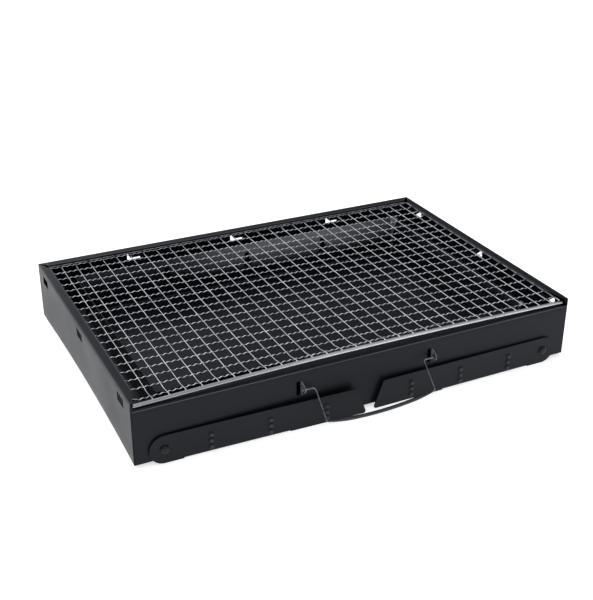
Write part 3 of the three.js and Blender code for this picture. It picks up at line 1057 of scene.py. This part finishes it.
# %% Socket class
class Wire:
    """A shader socket that can be added, multiplied and compared."""

    def __init__(self, tree, socket):
        self.tree = tree
        self.socket = socket

    def node(self, kind, settings=None, inputs=None, output=0):
        made = self.tree.nodes.new(kind)
        for key, value in (settings or {}).items():
            setattr(made, key, value)
        for key, value in (inputs or {}).items():
            if isinstance(value, Wire):
                self.tree.links.new(value.socket, made.inputs[key])
            else:
                made.inputs[key].default_value = value
        return Wire(self.tree, made.outputs[output])

    def math(self, operation, first, second=0.0):
        return self.node("ShaderNodeMath", {"operation": operation}, {0: first, 1: second})

    def __add__(self, other):
        return self.math("ADD", self, other)

    def __sub__(self, other):
        return self.math("SUBTRACT", self, other)

    def __rsub__(self, other):
        return self.math("SUBTRACT", other, self)

    def __mul__(self, other):
        return self.math("MULTIPLY", self, other)

    def __gt__(self, other):
        return self.math("GREATER_THAN", self, other)

    def __lt__(self, other):
        return self.math("LESS_THAN", self, other)

    __radd__ = __add__
    __rmul__ = __mul__

    def size(self):
        return self.math("ABSOLUTE", self)

    def near(self, centre, half):
        """1 within half of a centre, with a soft edge."""
        return 1 - (self - centre).size().ramp(half, half * 1.8)

    def clamp(self):
        return self.node("ShaderNodeClamp", None, {"Value": self})

    def ramp(self, low, high):
        """0 below low, 1 above high, with a smooth rise between."""
        return self.node("ShaderNodeMapRange", {"interpolation_type": "SMOOTHSTEP"},
                         {"Value": self, "From Min": low, "From Max": high})

    def mix(self, first, second):
        """A colour between two others, by this value."""
        return self.node("ShaderNodeMix", {"data_type": "RGBA"},
                         {0: self, 6: first, 7: second}, output=2)


def rgb(red, green, blue):
    return (red, green, blue, 1.0)


print("shader maths ready")

# %% Start a finish
class Finish:
    """One material: a Principled shader and the place on the piece, in metres."""

    def __init__(self, name, **fixed):
        self.material = bpy.data.materials.new(name)
        self.material.use_nodes = True
        self.tree = self.material.node_tree
        self.shader = self.tree.nodes["Principled BSDF"]
        place = self.tree.nodes.new("ShaderNodeTexCoord")
        self.place = Wire(self.tree, place.outputs["Object"])
        for socket_name, value in fixed.items():
            self.shader.inputs[socket_name.replace("_", " ")].default_value = value

    def noise(self, scale, detail=3.0, rough=0.55, stretch=None):
        place = self.place
        if stretch:
            place = place.node("ShaderNodeVectorMath", {"operation": "MULTIPLY"},
                               {0: place, 1: stretch})
        return place.node("ShaderNodeTexNoise", None,
                          {"Vector": place, "Scale": scale, "Detail": detail, "Roughness": rough})

    def specks(self, scale):
        """Distance to the nearest of many scattered points."""
        return self.place.node("ShaderNodeTexVoronoi", None, {"Vector": self.place, "Scale": scale})

    def axis(self, index):
        return self.place.node("ShaderNodeSeparateXYZ", None, {0: self.place}, output=index)

    def feed(self, socket_name, wire):
        self.tree.links.new(wire.socket, self.shader.inputs[socket_name])

    def bump(self, height, strength, distance=0.0002):
        raised = height.node("ShaderNodeBump", None,
                             {"Strength": strength, "Distance": distance, "Height": height})
        self.feed("Normal", raised)


print("finish helper ready")

# %% [markdown]
# ## Satin black paint
# Heat-proof paint is sprayed on thin and baked. Close up it has a fine orange
# peel, a little dust that was caught as it dried, and faint broad patches where
# it is glossier. Fine rubbing shows as slightly paler, duller streaks. Only the
# colour, roughness and bump vary, so the finish can be baked with the model.

# %% Mix the black paint
# Pale grey of the floor's dust, raised to paint fill light into the shaded gap around the pan.
ASH_AND_FILL_TONE = (0.11, 0.114, 0.122)


def black_paint(name, base, rough, peel, patch_shift=0.0, ior=1.28, pale_and_highlight_mask=None,
                pale_and_highlight_tone=(0.16, 0.165, 0.175), ash_and_fill_mask=None):
    """The two masks each take the finish and give 1 where the tone is paled: the first for painted
    highlights and some paler patches, the second for floor dust that is also painted fill light.
    """
    finish = Finish(name, IOR=ior, Specular_Tint=rgb(0.9, 0.925, 1.0))
    patches = finish.noise(9 + patch_shift, 4.0, 0.6)
    grain = finish.noise(900, 2.0, 0.6)
    rubbed = finish.noise(60, 5.0, 0.65, (1.0, 1.0, 0.18)).ramp(0.6, 0.8)
    dust = 1 - finish.specks(260).ramp(0.02, 0.09)
    dust = dust * finish.noise(35, 2.0).ramp(0.52, 0.66)
    shade = patches.ramp(0.3, 0.75)
    tone = shade.mix(rgb(*(c * 0.82 for c in base)), rgb(*(c * 1.2 for c in base)))
    tone = (rubbed * 0.35).mix(tone, rgb(*(c * 1.7 + 0.004 for c in base)))
    tone = (dust * 0.55).mix(tone, rgb(0.11, 0.11, 0.115))
    # Dust on the floor, lightened further as painted fill light for its deep shade.
    if ash_and_fill_mask:
        tone = (ash_and_fill_mask(finish) * 0.9).mix(tone, rgb(*ASH_AND_FILL_TONE))
    # Painted highlights, with some plain paler patches: where the mask is 1, the base colour is
    # lightened.
    if pale_and_highlight_mask:
        streak = finish.noise(130, 4.0, 0.6, (0.12, 0.12, 1.0)).ramp(0.25, 0.6)
        tone = (pale_and_highlight_mask(finish) * (streak * 0.4 + 0.6)).mix(tone, rgb(*pale_and_highlight_tone))
    finish.feed("Base Color", tone)
    finish.feed("Roughness", (shade * 0.09 + grain * 0.08 + rubbed * 0.07 + dust * 0.2
                              + (rough - 0.1)).clamp())
    finish.bump(grain * 0.5 + finish.noise(320, 2.0) * 0.7 + dust * 0.4, peel, 0.00012)
    return finish.material


def shell_painted_highlights_and_pale_lip(finish):
    """Painted highlight lines along the outer folds, the lip edges and the front wall's fold, where
    light catches the bends, and a left lip that is paler towards the back.
    """
    left_lip = (SIDE_LIP - half_x > finish.axis(0)) * finish.axis(1).ramp(middle_y, back_y)
    aside = finish.axis(0).size()
    depth = finish.axis(1)
    height = finish.axis(2)
    on_top = height > top_z - 1.4 * MM
    outer_folds = aside.near(half_x - 0.6 * MM, 0.35 * MM) + depth.near(back_y - 0.6 * MM, 0.35 * MM)
    lip_edges = (aside.near(half_x - SIDE_LIP, 0.4 * MM) * (depth > front_y + 20 * MM)
                 + depth.near(back_y - SIDE_LIP, 0.45 * MM))
    front_fold = height.near(front_top - 0.5 * MM, 0.25 * MM) * (front_y + 0.7 * MM > depth)
    return ((outer_folds * 0.4 + lip_edges * 0.4 + left_lip * 0.1) * on_top
            + front_fold * 0.5).clamp()


def shell_ash_and_fill(finish):
    """The floor is dusty inside, and its pale tone also paints fill light into the deep shade around
    the pan.
    """
    depth = (finish.axis(1) - middle_y).size()
    inside = (half_x - 3 * MM > finish.axis(0).size()) * (half_y - 3 * MM > depth)
    return inside * (finish.axis(2) > base_z + 0.45 * MM) * (base_z + 3 * MM > finish.axis(2))


def pan_pale_corners_and_painted_band(finish):
    """Paler upright corners, and a painted highlight band high on the long walls, standing in for
    light on their upper part.
    """
    aside = finish.axis(0)
    depth = (finish.axis(1) - middle_y).size()
    height = finish.axis(2)
    corners = (aside > pan_x - 1.8 * MM) * (depth > pan_y - 1.8 * MM)
    band = height.ramp(base_z + 20 * MM, base_z + 40 * MM) * (depth > pan_y - 0.8 * MM)
    spread = 1 - (aside - 60 * MM).size().ramp(30 * MM, 160 * MM)
    return (corners * 0.7 + band * (spread * 0.8 + 0.04)).clamp()


def mark_painted_highlights(finish):
    """The crowns of the pressed marks are lightened: painted highlights where light catches the pips.
    """
    aside, height = finish.axis(0).size(), finish.axis(2)
    across = sum((aside.near(abs(pivot_x) - place, 0.9 * MM) for place in MARK_PLACES[1:]),
                 aside.near(abs(pivot_x) - MARK_PLACES[0], 0.9 * MM))
    middle = pivot_z - MARK_DROP + 0.5 * MM
    rows = (height.near(middle - PIP_STEP, 0.9 * MM) + height.near(middle, 0.9 * MM)
            + height.near(middle + PIP_STEP, 0.9 * MM))
    return across * rows


PAINT_TONE = (0.0055, 0.0062, 0.0082)
# The shell's paint takes painted highlights along its folds and lip edges, and painted fill light on
# its dusty floor.
paint = black_paint("satin_black_paint", PAINT_TONE, 0.44, 0.35, pale_and_highlight_mask=shell_painted_highlights_and_pale_lip, ash_and_fill_mask=shell_ash_and_fill)
# The legs' paint lightens the pip crowns as painted highlights.
leg_paint = black_paint("leg_black_paint", (0.0072, 0.0078, 0.0098), 0.44, 0.4, 2.0,
                        pale_and_highlight_mask=mark_painted_highlights, pale_and_highlight_tone=(0.045, 0.047, 0.052))
# The pan's paint takes a painted highlight band on its upper long walls, and paler upright corners.
pan_paint = black_paint("pan_black_paint", (0.004, 0.0044, 0.006), 0.3, 0.2, 5.0, 1.33, pan_pale_corners_and_painted_band,
                        (0.26, 0.265, 0.275))
print("paints:", paint.name, leg_paint.name, pan_paint.name)

# %% [markdown]
# ## Bright wire
# The mesh is galvanised after weaving, so the zinc is uneven: bright where it ran
# thin over the crimps, cloudy and duller in between. The bar is plated and
# smoother. The handle wire is only drawn steel, darker, with fine lines along it.

# %% Plate the wires
def bright_wire(name, dark, light, rough, cloud_scale, drawn=(1, 1, 1), painted_shade_left=0.0):
    finish = Finish(name, Metallic=1.0)
    cloud = finish.noise(cloud_scale, 4.0, 0.6)
    fine = finish.noise(1400, 2.0, 0.6, drawn)
    stain = finish.noise(cloud_scale * 3.1, 3.0).ramp(0.6, 0.74)
    tone = cloud.ramp(0.3, 0.7).mix(rgb(*dark), rgb(*light))
    tone = (stain * 0.5).mix(tone, rgb(*(c * 0.55 for c in dark)))
    # Painted shade: the base colour darkens towards the left end, by the share given.
    tone = (finish.axis(0).ramp(0.02, -0.18) * painted_shade_left).mix(tone, rgb(*(c * 0.4 for c in dark)))
    finish.feed("Base Color", tone)
    finish.feed("Roughness", (cloud * 0.16 + fine * 0.1 + stain * 0.15 + (rough - 0.12)).clamp())
    finish.bump(fine, 0.25, 0.00006)
    return finish.material


zinc = bright_wire("zinc_wire", (0.44, 0.45, 0.475), (0.74, 0.75, 0.775), 0.34, 70)
# The plated bar's left end takes painted shade.
plated = bright_wire("plated_bar", (0.6, 0.61, 0.64), (0.74, 0.75, 0.78), 0.27, 30, (0.05, 1, 1),
                     0.8)
drawn_steel = bright_wire("drawn_steel", (0.1, 0.105, 0.112), (0.24, 0.245, 0.255), 0.28, 90)
print("wires:", zinc.name, plated.name, drawn_steel.name)

# %% [markdown]
# ## Sleeve and rivets
# The sleeve is extruded plastic: even in colour, with a slight waxy unevenness.
# The rivets are blackened steel, polished a little by the setting tool on top.

# %% Finish the small parts
sleeve_finish = Finish("sleeve_plastic", IOR=1.5)
wax = sleeve_finish.noise(120, 3.0)
sleeve_finish.feed("Base Color", wax.ramp(0.3, 0.7).mix(rgb(0.014, 0.014, 0.016),
                                                        rgb(0.024, 0.024, 0.027)))
sleeve_finish.feed("Roughness", (wax * 0.1 + 0.14).clamp())
sleeve_finish.bump(sleeve_finish.noise(600, 2.0), 0.2, 0.00008)

rivet_finish = Finish("blackened_rivet", Metallic=0.0, IOR=1.3)
polish = rivet_finish.noise(400, 3.0).ramp(0.4, 0.7)
rivet_finish.feed("Base Color", polish.mix(rgb(0.004, 0.0045, 0.006), rgb(0.012, 0.013, 0.016)))
rivet_finish.feed("Roughness", (0.36 - polish * 0.1).clamp())
rivet_finish.bump(rivet_finish.noise(900, 2.0), 0.3, 0.00008)

# The ears lose their paint where the wire rubs them.
rubbed_finish = Finish("rubbed_ear", IOR=1.45)
worn = rubbed_finish.noise(420, 4.0).ramp(0.36, 0.6)
rubbed_finish.feed("Metallic", worn * 0.8)
rubbed_finish.feed("Base Color", worn.mix(rgb(0.02, 0.021, 0.024), rgb(0.3, 0.31, 0.33)))
rubbed_finish.feed("Roughness", (0.5 - worn * 0.1).clamp())
rubbed_finish.bump(worn, 0.3, 0.00008)
rubbed = rubbed_finish.material
print("small finishes ready")

# %% [markdown]
# ## Put the pieces on the frame
# Every piece now rides on the body it belongs to, stands for its engineering node,
# and takes a finish.

# %% Ride, replace and finish
def settle(piece, body, nodes, material):
    piece.data.materials.clear()
    piece.data.materials.append(material)
    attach(piece, body)
    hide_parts(*nodes)


settle(shell, "grill_body", ["body_shell"], paint)
for ear in ears:
    settle(ear, "grill_body", ["body_shell"], rubbed)
settle(pan, "grill_body", ["charcoal_pan"], pan_paint)
settle(left_leg, "left_leg", ["left_leg_frame"], leg_paint)
settle(right_leg, "right_leg", ["right_leg_frame"], leg_paint)
for node, rivet in rivets.items():
    settle(rivet, "grill_body", [node], rivet_finish.material)
    washer = frame["nodes"][node.replace("rivet", "washer")]
    washer.data.materials.clear()
    washer.data.materials.append(rivet_finish.material)
settle(straight_wires, "cooking_mesh", ["mesh_bar_with_long_wires"], zinc)
settle(front_bar, "cooking_mesh", ["mesh_bar_with_long_wires"], plated)
settle(frame_rod, "cooking_mesh", ["mesh_frame_rod"], zinc)
for i, wire in enumerate(cross_wires):
    settle(wire, "cooking_mesh", [f"mesh_cross_wire_{i + 1:02d}"], zinc)
settle(handle_wire, "carry_handle", ["handle_wire"], drawn_steel)
settle(sleeve, "carry_handle", ["handle_grip"], sleeve_finish.material)
print("pieces settled")

# %% [markdown]
# ## Floor and light
# The grill stands on a white table top in a bright studio. One very soft key light
# comes from above and behind on the left. The room is bright on the left, grey at
# the back and dark on the camera's side, so the end wall looks grey while the
# front wall, which mirrors only the table and the dark side, stays nearly black.

# %% Lay the floor
FLOOR = 30.0
TABLE_GLOW = 0.62

floor_bm = bmesh.new()
bmesh.ops.create_grid(floor_bm, x_segments=2, y_segments=2, size=FLOOR)
floor = make_object("table_top", floor_bm, smooth=False)
table = Finish("white_table", Roughness=0.95, Emission_Strength=TABLE_GLOW)
table.shader.inputs["Specular IOR Level"].default_value = 0.0
table.shader.inputs["Emission Color"].default_value = rgb(1, 1, 1)
table.feed("Base Color", table.noise(3.0).ramp(0.2, 0.8).mix(rgb(0.9, 0.9, 0.9),
                                                            rgb(0.92, 0.92, 0.92)))
floor.data.materials.append(table.material)
print("table laid")

# %% Light the studio
KEY_FROM = Vector((-0.35, 0.3, 0.89))
KEY_POWER = 1.0
KEY_SOFTNESS = 70

key_data = bpy.data.lights.new("soft_key", "SUN")
key_data.energy = KEY_POWER
key_data.angle = math.radians(KEY_SOFTNESS)
key = bpy.data.objects.new("soft_key", key_data)
key.rotation_euler = (-KEY_FROM).to_track_quat("-Z", "Y").to_euler()
bpy.context.scene.collection.objects.link(key)

world = bpy.data.worlds.new("studio")
world.use_nodes = True
sky = world.node_tree
way = Wire(sky, sky.nodes.new("ShaderNodeTexCoord").outputs["Generated"])
sideways, lengthways, upwards = (
    way.node("ShaderNodeSeparateXYZ", None, {0: way}, output=k) for k in range(3))
behind = lengthways.ramp(0.0, 0.5)
left_glow = behind * (sideways * -1.0).ramp(-0.5, 0.05)
front_glow = (lengthways * -1.0).ramp(0.15, 0.6) * upwards.ramp(0.1, 0.35)
ceiling = upwards.ramp(0.6, 0.95)
horizon = 1 - upwards.ramp(0.03, 0.08)
room = left_glow + front_glow * 0.55 + ceiling * 0.35 + horizon * 0.9 + 0.14
backdrop = sky.nodes["Background"]
sky.links.new(room.mix(rgb(0, 0, 0), rgb(0.96, 0.98, 1.04)).socket, backdrop.inputs["Color"])
backdrop.inputs["Strength"].default_value = 1.0
bpy.context.scene.world = world
print("studio lit")
